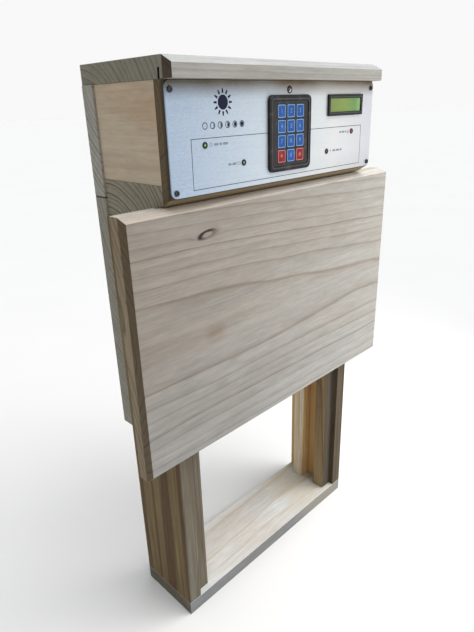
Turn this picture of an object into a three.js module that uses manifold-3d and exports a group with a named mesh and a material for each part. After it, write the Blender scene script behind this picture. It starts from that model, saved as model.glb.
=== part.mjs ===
// Automatic coop door: a timber frame with a sliding door, a screw drive and a control box on top.
// Millimetres, +Z up, -Y is the side that faces the yard, X is centred on the frame.
import * as THREE from "three";
import { mergeVertices } from "three/addons/utils/BufferGeometryUtils.js";
import Module from "manifold-3d";

const wasm = await Module();
wasm.setup();

// ---- Driving dimensions ----
const PLANK = 19; // thickness of sawn board and square strip
const HEADER = 38; // thickness of the header that ties the stiles and is the floor of the box
const THIN = 13; // thickness of the face boards and box walls
const FRAME_WIDTH = 337;
const FRAME_DEPTH = 90; // the sill and both stiles
const BOX_WIDTH = 330;
const BACK_WIDTH = 335; // both boards across the back
const COVER_WIDTH = 433;
const FACING = 6.5; // plywood sheet between the stiles and the cover board
const GUIDE_FRONT = 7.5; // how far the front guide strip stands back from the stile edge
const GROOVE = 24; // between the front and the rear guide strips
const GAP = 0.3; // clearance between touching round or moving pieces
const ROUND = 32; // segments in a turned piece

// ---- Levels, worked out from the floor up ----
const FRAME_TOP = 519; // top of the stiles, underside of the header
const FLOOR_TOP = FRAME_TOP + HEADER;
const FACE_JOINT = FLOOR_TOP - PLANK; // where the box's own boards meet those of the frame
const LID_BOTTOM = 647;
const LID_TOP = LID_BOTTOM + PLANK;
const BACK_BOTTOM = 254; // lower edge of the back board, above the passage
const COVER_BACK = [250, 536.5]; // lower and upper edge of the cover at its back face
const COVER_FRONT = [262, 532]; // the same at its front face, after both bevels
const BOX_FRONT_DROP = 8; // bevel height under the box front board
const TRIM_DROP = 6.5; // bevel height on top of the lid trim

// ---- Depths ----
const FACE_BACK = -FACING; // back face of the cover board and the box front board
const FACE_FRONT = FACE_BACK - THIN;
const BACK_FACE = FRAME_DEPTH + PLANK;
const LID_BACK = BACK_FACE + 3;
const TRIM_FRONT = FACE_FRONT - THIN;
const PLATE_THICK = 1.5;
const PLATE_FRONT = FACE_FRONT - PLATE_THICK;
const REAR_GUIDE = GUIDE_FRONT + PLANK + GROOVE;
const CLEAT_BACK = 6;

// ---- Widths ----
const HALF_FRAME = FRAME_WIDTH / 2;
const HALF_BOX = BOX_WIDTH / 2;
const HALF_BACK = BACK_WIDTH / 2;
const HALF_COVER = COVER_WIDTH / 2;
const BAY = HALF_FRAME - PLANK; // inner face of a stile

// ---- Door and drive ----
const DOOR_THICK = 18;
const DOOR_HEIGHT = 250;
const DOOR_BOTTOM = 264; // raised
const DOOR_TOP = DOOR_BOTTOM + DOOR_HEIGHT;
const DOOR_SIDE_GAP = 2;
const DOOR_BACK = GUIDE_FRONT + PLANK + (GROOVE + DOOR_THICK) / 2;
const SCREW_Y = 69;
const SCREW_R = 4;
const SCREW_SPAN = [258, 556];
const SHELF = [DOOR_TOP - 4, DOOR_TOP - 1];
const DOOR_TRAVEL = 244;
const BRACKET = { thick: 3, leg: 37, left: 18, right: 36, back: 84 };
const NUT = { body: 8, flange: 13, flangeThick: 3, height: 12 };
const SHAFT_R = 3;
const SHAFT_SPAN = [560, 588];
const COUPLER = { r: 9.5, low: 546, step: 557.5, high: 570 };
const FOOT = { half: 16, front: 57, low: 255, high: 265 };
const MOTOR_SEAT = 578;
const GEARBOX_TOP = MOTOR_SEAT + 24;
const GEARBOX = { r: 18.5, boss: 6, bossLength: 6, bore: 12 };
const MOTOR = { r: 17, shoulder: 14, cap: 8, canTop: 632, capTop: 636 };
const HAT = { inner: 28, thick: 3, foot: 11, front: 48, back: 89 };
const SWITCH = { left: 40.2, width: 20, depth: 11.5, height: 9, plunger: 3.5 };
const COUPLER_HOLE = 13;
const INLET = { x: 120, z: 585, hole: 5.5, body: 5.2, flange: 8, cap: 6, reach: 28, lip: 1.2, proud: 2.6 };
const KERF = { inset: 4, width: 2.6, depth: 9.2 };

// ---- Electrics ----
const PCB = { half: 100, low: 562, high: 634, front: 0, thick: 1.6, post: 3 };
const PCB_PARTS = [
  { x: [-80, -61], z: [590, 606], deep: 15 },
  { x: [-55, -36], z: [590, 606], deep: 15 },
  { x: [-20, 16], z: [588, 598], deep: 4 },
  { x: [-85, -45], z: [568, 577], deep: 10 },
  { x: [35, 75], z: [568, 577], deep: 10 },
  { x: [40, 52], z: [600, 622], deep: 11 },
];
const BATTERY = { x: [-145, -48], y: [32, 75], height: 52, terminal: 6 };
const STRAP = { middle: -80, half: 8, thick: 1.5, foot: 12 };

// ---- Control panel, in panel coordinates: X from the middle, Z from the ground ----
const PLATE_BOTTOM = FACE_JOINT + BOX_FRONT_DROP;
const PLATE_TOP = LID_BOTTOM - 0.5;
const PLATE_CORNER = 6;
const PLATE_SCREWS = { x: 159.5, low: 551, high: 639 };
const PLATE_SCREW = {
  head: 3,
  headHeight: 1.6,
  shank: 1.6,
  length: 12,
  slotWidth: 0.8,
  slotLength: 3.4,
  slotDepth: 0.9,
};
const KEYPAD = {
  x: 1,
  z: 594.5,
  width: 70,
  height: 77,
  thick: 3,
  corner: 6,
  rim: 5.5,
  pocket: 0.8,
  edge: 1,
};
const KEY = { width: 12.8, height: 13.2, pitchX: 15.4, pitchZ: 15.1, thick: 1.7, travel: 0.8 };
const LCD = { x: 104.5, z: 621, width: 70, height: 23.4, windowX: 63, windowZ: 15.4, thick: 2.4 };
const LCD_BODY = { width: 65.4, height: 19.4, depth: 9, proud: 1.2 };
const SENSOR = { x: 1, z: 638, rim: 3.75, lens: 2.8, body: 3, reach: 13 };
const LED = { rim: 3.1, lens: 2, body: 2.4, reach: 13 };
const LED_SPOTS = [
  { name: "led_timer", x: -122, z: 590.6, color: 0x8fe04a },
  { name: "led_ready", x: -70.5, z: 570.5, color: 0xdfe8e0 },
  { name: "led_safety", x: 121, z: 590.6, color: 0xc2304a },
  { name: "led_power", x: 70.5, z: 570.5, color: 0xdfe8e0 },
];
const RIBBON_SLOT = { x: 1, z: 566, width: 22, height: 3 };
const KEY_NAMES = [
  ["key_1", "key_2", "key_3"],
  ["key_4", "key_5", "key_6"],
  ["key_7", "key_8", "key_9"],
  ["key_star", "key_0", "key_hash"],
];

// ---- Materials ----
const matte = (color, roughness = 0.8, metalness = 0) =>
  new THREE.MeshStandardMaterial({ color, roughness, metalness });
const PINE_GREY = matte(0xb5aa97);
const PINE_DARK = matte(0x8a7d66);
const PINE_TAN = matte(0xc0ab88);
const STEEL = matte(0xb8bcc0, 0.35, 1);
const ALUMINIUM = matte(0xc8d0d8, 0.4, 1);
const BRASS = matte(0xb08d4a, 0.35, 1);
const BLACK_STEEL = matte(0x26282b, 0.45, 1);
const BLACK_PLASTIC = matte(0x2d2c2e, 0.5);
const KEY_BLUE = matte(0x2f62b0, 0.45);
const KEY_RED = matte(0xa8202c, 0.45);
const LCD_GREEN = matte(0x8fb040, 0.2);
const BOARD_GREEN = matte(0x1f6a3c, 0.5);
const CASE_GREY = matte(0x4a4d52, 0.6);
const SENSOR_GLASS = matte(0x6b6f70, 0.15);

// ---- Shape helpers ----
function rectangle(x, y, width, height, corner = 0) {
  const left = x - width / 2;
  const right = x + width / 2;
  const low = y - height / 2;
  const high = y + height / 2;
  const shape = new THREE.Shape();
  if (corner === 0) {
    return shape.moveTo(left, low).lineTo(right, low).lineTo(right, high).lineTo(left, high);
  }
  shape.moveTo(left + corner, low);
  shape.absarc(right - corner, low + corner, corner, -Math.PI / 2, 0, false);
  shape.absarc(right - corner, high - corner, corner, 0, Math.PI / 2, false);
  shape.absarc(left + corner, high - corner, corner, Math.PI / 2, Math.PI, false);
  shape.absarc(left + corner, low + corner, corner, Math.PI, 1.5 * Math.PI, false);
  return shape;
}

function circle(x, y, r) {
  return new THREE.Path().absarc(x, y, r, 0, 2 * Math.PI, false);
}

// A Shape drawn in X and Z, running through the depth from front to back.
function extrudeY(shape, front, back, curveSegments = 8) {
  const g = new THREE.ExtrudeGeometry(shape, {
    depth: back - front,
    bevelEnabled: false,
    curveSegments,
  });
  return g.rotateX(Math.PI / 2).translate(0, back, 0);
}

// A list of [y, z] corners, counter-clockwise seen from +X, running from one X to another.
function extrudeX(corners, left, right) {
  const shape = new THREE.Shape(corners.map(([y, z]) => new THREE.Vector2(y, z)));
  const g = new THREE.ExtrudeGeometry(shape, { depth: right - left, bevelEnabled: false });
  return g.rotateY(Math.PI / 2).rotateX(Math.PI / 2).translate(left, 0, 0);
}

function block([x0, x1], [y0, y1], [z0, z1]) {
  const g = new THREE.BoxGeometry(x1 - x0, y1 - y0, z1 - z0);
  return g.translate((x0 + x1) / 2, (y0 + y1) / 2, (z0 + z1) / 2);
}

// A turned piece about a vertical axis: [radius, z] from the bottom of the outside upwards.
function turnedZ(profile, x = 0, y = 0) {
  const points = profile.map(([r, z]) => new THREE.Vector2(r, z));
  return new THREE.LatheGeometry(points, ROUND).rotateX(Math.PI / 2).translate(x, y, 0);
}

// A turned piece about a front-to-back axis: [radius, depth], depth growing towards the front.
function turnedY(profile, x, z, y, segments = ROUND) {
  const points = profile.map(([r, depth]) => new THREE.Vector2(r, depth));
  return new THREE.LatheGeometry(points, segments).rotateX(Math.PI).translate(x, y, z);
}

// A round cutter or post along the depth, from front to back.
function drillY(x, z, r, front, back) {
  return turnedY([[0, -1], [r, -1], [r, back - front + 1], [0, back - front + 1]], x, z, back, 24);
}

// An upright round cutter, a little longer than the hole it makes.
function drillZ(x, y, r, low, high) {
  return turnedZ([[0, low - 1], [r, low - 1], [r, high + 1], [0, high + 1]], x, y);
}

function solid(geometry) {
  const bare = geometry.clone().deleteAttribute("normal").deleteAttribute("uv");
  const merged = mergeVertices(bare, 1e-4);
  return new wasm.Manifold(
    new wasm.Mesh({
      numProp: 3,
      vertProperties: new Float32Array(merged.attributes.position.array),
      triVerts: new Uint32Array(merged.index.array),
    }),
  );
}

function geometryOf(manifold) {
  const mesh = manifold.getMesh();
  const g = new THREE.BufferGeometry();
  g.setAttribute("position", new THREE.BufferAttribute(mesh.vertProperties, 3));
  g.setIndex(new THREE.BufferAttribute(mesh.triVerts, 1));
  g.computeVertexNormals();
  return g;
}

function join(...pieces) {
  return geometryOf(pieces.map(solid).reduce((sum, piece) => sum.add(piece)));
}

function cut(body, ...tools) {
  return geometryOf(tools.map(solid).reduce((rest, tool) => rest.subtract(tool), solid(body)));
}

const assembly = new THREE.Group();

function add(name, geometry, material) {
  const mesh = new THREE.Mesh(geometry, material);
  mesh.name = name;
  assembly.add(mesh);
}

// Calls make(side, name) for the left (-1) and the right (+1).
function bothSides(make) {
  make(-1, "left");
  make(1, "right");
}

// The span from one distance to another out from the middle, on the given side.
function span(side, near, far) {
  return side < 0 ? [-far, -near] : [near, far];
}

// ---- Timber frame ----
function timberFrame() {
  add("sill", block([-HALF_FRAME, HALF_FRAME], [0, FRAME_DEPTH], [0, PLANK]), PINE_GREY);
  bothSides((side, name) => {
    const height = [PLANK, FRAME_TOP];
    add(`${name}_stile`, block(span(side, BAY, HALF_FRAME), [0, FRAME_DEPTH], height), PINE_DARK);
    const strip = span(side, BAY - PLANK, BAY);
    const frontDepth = [GUIDE_FRONT, GUIDE_FRONT + PLANK];
    add(`${name}_front_guide`, block(strip, frontDepth, height), PINE_DARK);
    add(`${name}_rear_guide`, block(strip, [REAR_GUIDE, REAR_GUIDE + PLANK], height), PINE_DARK);
  });
}

function coverAndCleats() {
  const [backLow, backHigh] = COVER_BACK;
  const [frontLow, frontHigh] = COVER_FRONT;
  const section = [
    [FACE_FRONT, frontLow],
    [FACE_BACK, backLow],
    [FACE_BACK, backHigh],
    [FACE_FRONT, frontHigh],
  ];
  add("cover_board", extrudeX(section, -HALF_COVER, HALF_COVER), PINE_GREY);
  const facingHeight = [backLow, backHigh];
  add("cover_facing", block([-HALF_FRAME, HALF_FRAME], [FACE_BACK, 0], facingHeight), PINE_DARK);
  bothSides((side, name) => {
    const width = span(side, HALF_FRAME, HALF_COVER);
    add(`${name}_cleat`, block(width, [FACE_BACK, CLEAT_BACK], facingHeight), PINE_DARK);
  });
}

function backBoards() {
  const width = [-HALF_BACK, HALF_BACK];
  const depth = [FRAME_DEPTH, BACK_FACE];
  add("back_board_lower", block(width, depth, [BACK_BOTTOM, FACE_JOINT]), PINE_DARK);
  const upper = block(width, depth, [FACE_JOINT, LID_BOTTOM]);
  const inletHole = drillY(INLET.x, INLET.z, INLET.hole, ...depth);
  add("back_board_upper", cut(upper, inletHole), PINE_DARK);
}

// ---- Control box ----
function boxShell() {
  const section = [
    [0, FRAME_TOP],
    [FRAME_DEPTH, FRAME_TOP],
    [FRAME_DEPTH, FLOOR_TOP],
    [FACE_BACK, FLOOR_TOP],
    [FACE_BACK, FACE_JOINT],
    [0, FACE_JOINT],
  ];
  const floor = extrudeX(section, -HALF_BOX, HALF_BOX);
  add("box_floor", cut(floor, drillZ(0, SCREW_Y, COUPLER_HOLE, FRAME_TOP, FLOOR_TOP)), PINE_DARK);
  bothSides((side, name) => {
    const wall = span(side, HALF_BOX - THIN, HALF_BOX);
    add(`box_side_${name}`, block(wall, [FACE_BACK, FRAME_DEPTH], [FLOOR_TOP, LID_BOTTOM]), PINE_TAN);
  });
}

function boxFrontBoard() {
  const section = [
    [FACE_FRONT, PLATE_BOTTOM],
    [FACE_BACK, FACE_JOINT],
    [FACE_BACK, LID_BOTTOM],
    [FACE_FRONT, LID_BOTTOM],
  ];
  const board = extrudeX(section, -HALF_BOX, HALF_BOX);
  const lcdOpening = rectangle(LCD.x, LCD.z, LCD_BODY.width + 2 * GAP, LCD_BODY.height + 2 * GAP);
  const openings = [
    extrudeY(lcdOpening, FACE_FRONT - 1, FACE_BACK + 1),
    extrudeY(ribbonSlot(), FACE_FRONT - 1, FACE_BACK + 1),
    drillY(SENSOR.x, SENSOR.z, SENSOR.body + GAP, FACE_FRONT, FACE_BACK),
    ...LED_SPOTS.map((led) => drillY(led.x, led.z, LED.body + GAP, FACE_FRONT, FACE_BACK)),
    ...screwSpots().map(([x, z]) => drillY(x, z, PLATE_SCREW.shank + GAP, FACE_FRONT, FACE_BACK)),
  ];
  add("box_front_board", cut(board, ...openings), PINE_DARK);
}

function lidAndTrim() {
  const box = [-HALF_BOX, HALF_BOX];
  const board = block(box, [FACE_FRONT, LID_BACK], [LID_BOTTOM, LID_TOP]);
  const kerfDepth = [FACE_FRONT + KERF.inset, FACE_FRONT + KERF.inset + KERF.width];
  const kerf = block([-HALF_BOX - 1, HALF_BOX + 1], kerfDepth, [LID_BOTTOM - 1, LID_BOTTOM + KERF.depth]);
  add("lid_board", cut(board, kerf), PINE_GREY);
  const section = [
    [TRIM_FRONT, LID_BOTTOM],
    [FACE_FRONT, LID_BOTTOM],
    [FACE_FRONT, LID_TOP],
    [TRIM_FRONT, LID_TOP - TRIM_DROP],
  ];
  add("lid_trim", extrudeX(section, -HALF_BOX, HALF_BOX), PINE_GREY);
}

// ---- Control panel ----
function screwSpots() {
  const { x, low, high } = PLATE_SCREWS;
  return [[-x, high], [x, high], [-x, low], [x, low]];
}

function ribbonSlot() {
  const { x, z, width, height } = RIBBON_SLOT;
  return rectangle(x, z, width, height);
}

function facePlate() {
  const height = PLATE_TOP - PLATE_BOTTOM;
  const outline = rectangle(0, PLATE_BOTTOM + height / 2, BOX_WIDTH, height, PLATE_CORNER);
  outline.holes.push(
    rectangle(LCD.x, LCD.z, LCD.windowX, LCD.windowZ),
    ribbonSlot(),
    circle(SENSOR.x, SENSOR.z, SENSOR.body + GAP),
    ...LED_SPOTS.map((led) => circle(led.x, led.z, LED.body + GAP)),
    ...screwSpots().map(([x, z]) => circle(x, z, PLATE_SCREW.shank + GAP)),
  );
  add("face_plate", extrudeY(outline, PLATE_FRONT, FACE_FRONT), ALUMINIUM);
  screwSpots().forEach(([x, z], i) => add(`plate_screw_${i + 1}`, plateScrew(x, z), BLACK_STEEL));
}

function plateScrew(x, z) {
  const { head, headHeight, shank, length, slotWidth, slotLength, slotDepth } = PLATE_SCREW;
  const turned = turnedY(
    [[0, -length], [shank, -length], [shank, 0], [head, 0], [head - 0.6, headHeight], [0, headHeight]],
    x,
    z,
    PLATE_FRONT,
    20,
  );
  const slotSpan = [PLATE_FRONT - headHeight - 1, PLATE_FRONT - headHeight + slotDepth];
  const across = extrudeY(rectangle(x, z, slotLength, slotWidth), ...slotSpan);
  const upright = extrudeY(rectangle(x, z, slotWidth, slotLength), ...slotSpan);
  return cut(turned, across, upright);
}

// A round fitting in the plate: a rim, a shallow recess and a domed lens in it.
function roundFitting(x, z, { rim, lens, body, reach }) {
  const proud = 0.6;
  const recess = 0.1;
  const profile = [
    [0, -reach],
    [body, -reach],
    [body, 0],
    [rim, 0],
    [rim, proud],
    [lens + 0.3, proud],
    [lens + 0.3, recess],
    [lens, recess],
    [lens * 0.7, proud],
    [0, proud + 0.2],
  ];
  return turnedY(profile, x, z, PLATE_FRONT, 20);
}

function lampsAndSensor() {
  for (const spot of LED_SPOTS) {
    add(spot.name, roundFitting(spot.x, spot.z, LED), matte(spot.color, 0.3));
  }
  add("light_sensor", roundFitting(SENSOR.x, SENSOR.z, SENSOR), SENSOR_GLASS);
}

function keyCentre(column, row) {
  return [KEYPAD.x + (column - 1) * KEY.pitchX, KEYPAD.z + (1.5 - row) * KEY.pitchZ];
}

function keypad() {
  const { x, z, width, height, thick, corner, rim, pocket, edge } = KEYPAD;
  const front = PLATE_FRONT - thick;
  const slab = new THREE.ExtrudeGeometry(rectangle(x, z, width, height, corner), {
    depth: thick,
    bevelThickness: edge,
    bevelSize: edge,
    bevelOffset: -edge,
    bevelSegments: 2,
    curveSegments: 5,
  });
  slab.rotateX(Math.PI / 2).translate(0, front + edge + thick, 0);
  const wide = [x - width, x + width];
  const behind = block(wide, [PLATE_FRONT, PLATE_FRONT + 2 * thick], [z - height, z + height]);
  const inner = rectangle(x, z, width - 2 * rim, height - 2 * rim, corner / 2);
  const tools = [behind, extrudeY(inner, front - 1, front + pocket)];
  KEY_NAMES.forEach((names, row) =>
    names.forEach((name, column) => {
      const [keyX, keyZ] = keyCentre(column, row);
      const window = rectangle(keyX, keyZ, KEY.width + 2 * GAP, KEY.height + 2 * GAP);
      tools.push(extrudeY(window, front - 1, PLATE_FRONT + 1));
      const keyBack = PLATE_FRONT - KEY.travel - 0.1;
      const outline = rectangle(keyX, keyZ, KEY.width, KEY.height, 1.2);
      const colour = row === 3 && column !== 1 ? KEY_RED : KEY_BLUE;
      add(name, extrudeY(outline, keyBack - KEY.thick, keyBack, 3), colour);
    }),
  );
  add("keypad_bezel", cut(slab, ...tools), BLACK_PLASTIC);
}

function display() {
  const { x, z, width, height, windowX, windowZ, thick } = LCD;
  const frame = rectangle(x, z, width, height, 1);
  frame.holes.push(rectangle(x, z, windowX, windowZ));
  add("lcd_bezel", extrudeY(frame, PLATE_FRONT - thick, PLATE_FRONT), BLACK_PLASTIC);
  const glass = rectangle(x, z, windowX - 2 * GAP, windowZ - 2 * GAP);
  const body = rectangle(x, z, LCD_BODY.width, LCD_BODY.height);
  add(
    "lcd_window",
    join(
      extrudeY(glass, PLATE_FRONT - LCD_BODY.proud, FACE_FRONT + 1),
      extrudeY(body, FACE_FRONT, FACE_FRONT + LCD_BODY.depth),
    ),
    LCD_GREEN,
  );
}

// ---- Door and screw drive ----
function doorAndBracket() {
  const half = BAY - DOOR_SIDE_GAP;
  const chamfer = 4;
  const front = DOOR_BACK - DOOR_THICK;
  const section = [
    [front, DOOR_BOTTOM + chamfer],
    [front + chamfer, DOOR_BOTTOM],
    [DOOR_BACK, DOOR_BOTTOM],
    [DOOR_BACK, DOOR_TOP],
    [front, DOOR_TOP],
  ];
  add("door_panel", extrudeX(section, -half, half), PINE_TAN);
  const [shelfLow, shelfHigh] = SHELF;
  const legFront = DOOR_BACK;
  const legBack = DOOR_BACK + BRACKET.thick;
  const angle = [
    [legFront, shelfHigh - BRACKET.leg],
    [legBack, shelfHigh - BRACKET.leg],
    [legBack, shelfLow],
    [BRACKET.back, shelfLow],
    [BRACKET.back, shelfHigh],
    [legFront, shelfHigh],
  ];
  const bracket = extrudeX(angle, -BRACKET.left, BRACKET.right);
  const screwHole = drillZ(0, SCREW_Y, SCREW_R + 1, shelfLow, shelfHigh);
  add("door_bracket", cut(bracket, screwHole), STEEL);
  const { body, flange, flangeThick, height } = NUT;
  const bore = SCREW_R + GAP;
  const nut = [
    [bore, 0],
    [flange, 0],
    [flange, flangeThick],
    [body, flangeThick],
    [body, height],
    [bore, height],
    [bore, 0],
  ];
  add("drive_nut", turnedZ(nut, 0, SCREW_Y).translate(0, 0, shelfHigh), BRASS);
}

function screwDrive() {
  const [low, high] = SCREW_SPAN;
  const screw = [[0, low], [SCREW_R - 1, low], [SCREW_R, low + 1], [SCREW_R, high], [0, high]];
  add("lead_screw", turnedZ(screw, 0, SCREW_Y), STEEL);

  const coupler = turnedZ(
    [
      [SCREW_R + GAP, COUPLER.low],
      [COUPLER.r, COUPLER.low],
      [COUPLER.r, COUPLER.high],
      [SHAFT_R + GAP, COUPLER.high],
      [SHAFT_R + GAP, COUPLER.step],
      [SCREW_R + GAP, COUPLER.step],
      [SCREW_R + GAP, COUPLER.low],
    ],
    0,
    SCREW_Y,
  );
  const slit = block([-0.6, 0.6], [SCREW_Y - COUPLER.r - 1, SCREW_Y], [COUPLER.low - 1, COUPLER.step]);
  add("shaft_coupler", cut(coupler, slit), ALUMINIUM);

  const shaft = [[0, SHAFT_SPAN[0]], [SHAFT_R, SHAFT_SPAN[0]], [SHAFT_R, SHAFT_SPAN[1]], [0, SHAFT_SPAN[1]]];
  add("motor_shaft", turnedZ(shaft, 0, SCREW_Y), STEEL);

  const bearing = block([-FOOT.half, FOOT.half], [FOOT.front, FRAME_DEPTH], [FOOT.low, FOOT.high]);
  add("foot_bearing", cut(bearing, drillZ(0, SCREW_Y, SCREW_R + GAP, FOOT.low, FOOT.high)), CASE_GREY);
}

function motorAndBracket() {
  const { inner, thick, foot, front, back } = HAT;
  const outer = inner + thick;
  const under = MOTOR_SEAT - thick;
  const hat = new THREE.Shape(
    [
      [-outer - foot, FLOOR_TOP],
      [-inner, FLOOR_TOP],
      [-inner, under],
      [inner, under],
      [inner, FLOOR_TOP],
      [outer + foot, FLOOR_TOP],
      [outer + foot, FLOOR_TOP + thick],
      [outer, FLOOR_TOP + thick],
      [outer, MOTOR_SEAT],
      [-outer, MOTOR_SEAT],
      [-outer, FLOOR_TOP + thick],
      [-outer - foot, FLOOR_TOP + thick],
    ].map(([x, z]) => new THREE.Vector2(x, z)),
  );
  const bossHole = drillZ(0, SCREW_Y, GEARBOX.boss + 1, under, MOTOR_SEAT);
  add("motor_bracket", cut(extrudeY(hat, front, back), bossHole), STEEL);

  const boreTop = MOTOR_SEAT + GEARBOX.bore;
  const bossEnd = MOTOR_SEAT - GEARBOX.bossLength;
  const gearbox = [
    [0, boreTop],
    [SHAFT_R + GAP, boreTop],
    [SHAFT_R + GAP, bossEnd],
    [GEARBOX.boss, bossEnd],
    [GEARBOX.boss, MOTOR_SEAT],
    [GEARBOX.r, MOTOR_SEAT],
    [GEARBOX.r, GEARBOX_TOP],
    [0, GEARBOX_TOP],
  ];
  add("gearbox", turnedZ(gearbox, 0, SCREW_Y), STEEL);

  const { r, shoulder, cap, canTop, capTop } = MOTOR;
  const motor = [
    [0, GEARBOX_TOP],
    [r, GEARBOX_TOP],
    [r, canTop - 2],
    [shoulder, canTop],
    [cap, canTop],
    [cap, capTop],
    [0, capTop],
  ];
  add("drive_motor", turnedZ(motor, 0, SCREW_Y), CASE_GREY);
}

// Each switch sits beside the bracket's shelf, level with it at that end of the travel.
function limitSwitches() {
  const front = FRAME_DEPTH - SWITCH.depth;
  const width = [SWITCH.left, SWITCH.left + SWITCH.width];
  const makeSwitch = (name, drop) => {
    const middle = (SHELF[0] + SHELF[1]) / 2 - drop;
    const height = [middle - SWITCH.height / 2, middle + SWITCH.height / 2];
    const plungerWidth = [SWITCH.left - SWITCH.plunger, SWITCH.left + 1];
    const plunger = block(plungerWidth, [front + 2, front + 5], [middle - 2, middle + 2]);
    add(name, join(block(width, [front, FRAME_DEPTH], height), plunger), BLACK_PLASTIC);
  };
  makeSwitch("upper_limit_switch", 0);
  makeSwitch("lower_limit_switch", DOOR_TRAVEL);
}

// ---- Inside the control box ----
function circuitBoard() {
  const { half, low, high, front, thick, post } = PCB;
  const back = front + thick;
  const inside = half - 8;
  const posts = [[-inside, low + 6], [inside, low + 6], [-inside, high - 6], [inside, high - 6]];
  const pieces = [
    block([-half, half], [front, back], [low, high]),
    ...posts.map(([x, z]) => drillY(x, z, post, FACE_BACK + 1, front)),
    ...PCB_PARTS.map(({ x, z, deep }) => block(x, [back - 0.5, back + deep], z)),
  ];
  add("circuit_board", join(...pieces), BOARD_GREEN);
}

function batteryAndStrap() {
  const { x, y, height, terminal } = BATTERY;
  const top = FLOOR_TOP + height;
  const middleY = (y[0] + y[1]) / 2;
  const tabs = [x[0] + 8, x[0] + 22].map((tab) =>
    block([tab, tab + terminal], [middleY, middleY + terminal], [top - 1, top + terminal]),
  );
  add("battery", join(block(x, y, [FLOOR_TOP, top]), ...tabs), CASE_GREY);

  const { middle, half, thick, foot } = STRAP;
  const front = y[0] - GAP;
  const back = y[1] + GAP;
  const under = top + GAP;
  const section = [
    [front - thick - foot, FLOOR_TOP],
    [front, FLOOR_TOP],
    [front, under],
    [back, under],
    [back, FLOOR_TOP],
    [back + thick + foot, FLOOR_TOP],
    [back + thick + foot, FLOOR_TOP + thick],
    [back + thick, FLOOR_TOP + thick],
    [back + thick, under + thick],
    [front - thick, under + thick],
    [front - thick, FLOOR_TOP + thick],
    [front - thick - foot, FLOOR_TOP + thick],
  ];
  add("battery_strap", extrudeX(section, middle - half, middle + half), STEEL);
}

// The supply inlet on the back, with its dust cap closed.
function powerInlet() {
  const { x, z, body, flange, cap, reach, lip, proud } = INLET;
  const profile = [
    [0, -proud],
    [cap - 1, -proud],
    [cap, -lip],
    [flange, -lip],
    [flange, 0],
    [body, 0],
    [body, reach],
    [0, reach],
  ];
  add("power_inlet", turnedY(profile, x, z, BACK_FACE), BLACK_PLASTIC);
}

timberFrame();
coverAndCleats();
backBoards();
boxShell();
boxFrontBoard();
lidAndTrim();
facePlate();
lampsAndSensor();
keypad();
display();
doorAndBracket();
screwDrive();
motorAndBracket();
limitSwitches();
circuitBoard();
batteryAndStrap();
powerInlet();

// The part's own origin is the middle of its footprint, on the ground.
assembly.position.y = -(TRIM_FRONT + LID_BACK) / 2;
const part = new THREE.Group();
part.add(assembly);
export default part;
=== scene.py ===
"""Looks for the automatic coop door: timber, control panel and drive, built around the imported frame."""
import math

import bmesh
import bpy
from mathutils import Matrix, Vector


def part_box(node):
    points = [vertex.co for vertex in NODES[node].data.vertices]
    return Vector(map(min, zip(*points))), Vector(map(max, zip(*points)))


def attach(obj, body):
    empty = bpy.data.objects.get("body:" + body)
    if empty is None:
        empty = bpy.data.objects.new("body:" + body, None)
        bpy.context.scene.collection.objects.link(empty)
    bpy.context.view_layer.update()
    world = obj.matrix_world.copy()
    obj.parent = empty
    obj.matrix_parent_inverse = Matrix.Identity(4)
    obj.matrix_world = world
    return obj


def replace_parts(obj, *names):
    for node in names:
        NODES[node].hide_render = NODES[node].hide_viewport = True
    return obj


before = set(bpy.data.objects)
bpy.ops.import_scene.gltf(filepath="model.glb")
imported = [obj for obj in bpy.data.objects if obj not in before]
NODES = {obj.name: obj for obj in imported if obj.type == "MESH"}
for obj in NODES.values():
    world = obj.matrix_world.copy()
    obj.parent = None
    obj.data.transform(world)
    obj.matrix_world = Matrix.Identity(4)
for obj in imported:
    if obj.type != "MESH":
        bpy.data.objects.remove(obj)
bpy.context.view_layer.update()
MM = 0.001

# ---- Camera ----
CAMERA_PLACE = (-0.4637, -0.4428, 0.6254)
CAMERA_HEADING = math.radians(44.59)  # from +Y towards +X
CAMERA_DIP = math.radians(22.07)  # below the horizon
CAMERA_ROLL = math.radians(-1.78)
CAMERA_LENS = 29.757
SENSOR = 36.0

# ---- Places taken from the frame ----
PLATE_LOW, PLATE_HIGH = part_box("face_plate")
PLATE_FRONT = PLATE_LOW.y
BEZEL_LOW, BEZEL_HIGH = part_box("keypad_bezel")
INK = 0.06 * MM  # how proud the printing stands
PRINT_FRONT = PLATE_FRONT - INK

# ---- Printing on the plate, X and Z in metres in the frame ----
OUTLINE = {"left": -0.139, "right": 0.142, "low": 0.5508, "high": 0.597, "line": 0.0006}
EMBLEM = {"x": -0.097, "z": 0.6275, "disc": 0.0066, "ring": 0.0080, "ray": 0.0120, "rays": 12, "half": 0.0012}
PHASES = {"x": -0.0965, "z": 0.6075, "pitch": 0.0098, "count": 6, "r": 0.0032, "line": 0.0007}


# ---- Colours ----
def colour(red, green, blue):
    """An sRGB colour from 0 to 255 as a linear one with alpha."""
    def linear(value):
        share = value / 255
        return share / 12.92 if share <= 0.04045 else ((share + 0.055) / 1.055) ** 2.4
    return (linear(red), linear(green), linear(blue), 1.0)


# ---- Node trees ----
def configured(made, **settings):
    """What was made, with its settings."""
    for name, value in settings.items():
        setattr(made, name, value)
    return made


class Tree:
    """A node tree under construction."""

    def __init__(self, tree):
        self.tree = tree
        self.tree.nodes.clear()

    def node(self, kind, values=(), **settings):
        """A new node with its settings. Its inputs, by name or in order, are linked or set."""
        node = configured(self.tree.nodes.new(kind), **settings)
        for key, value in values.items() if isinstance(values, dict) else enumerate(values):
            if isinstance(value, bpy.types.NodeSocket):
                self.tree.links.new(value, node.inputs[key])
            else:
                node.inputs[key].default_value = value
        return node


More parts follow.
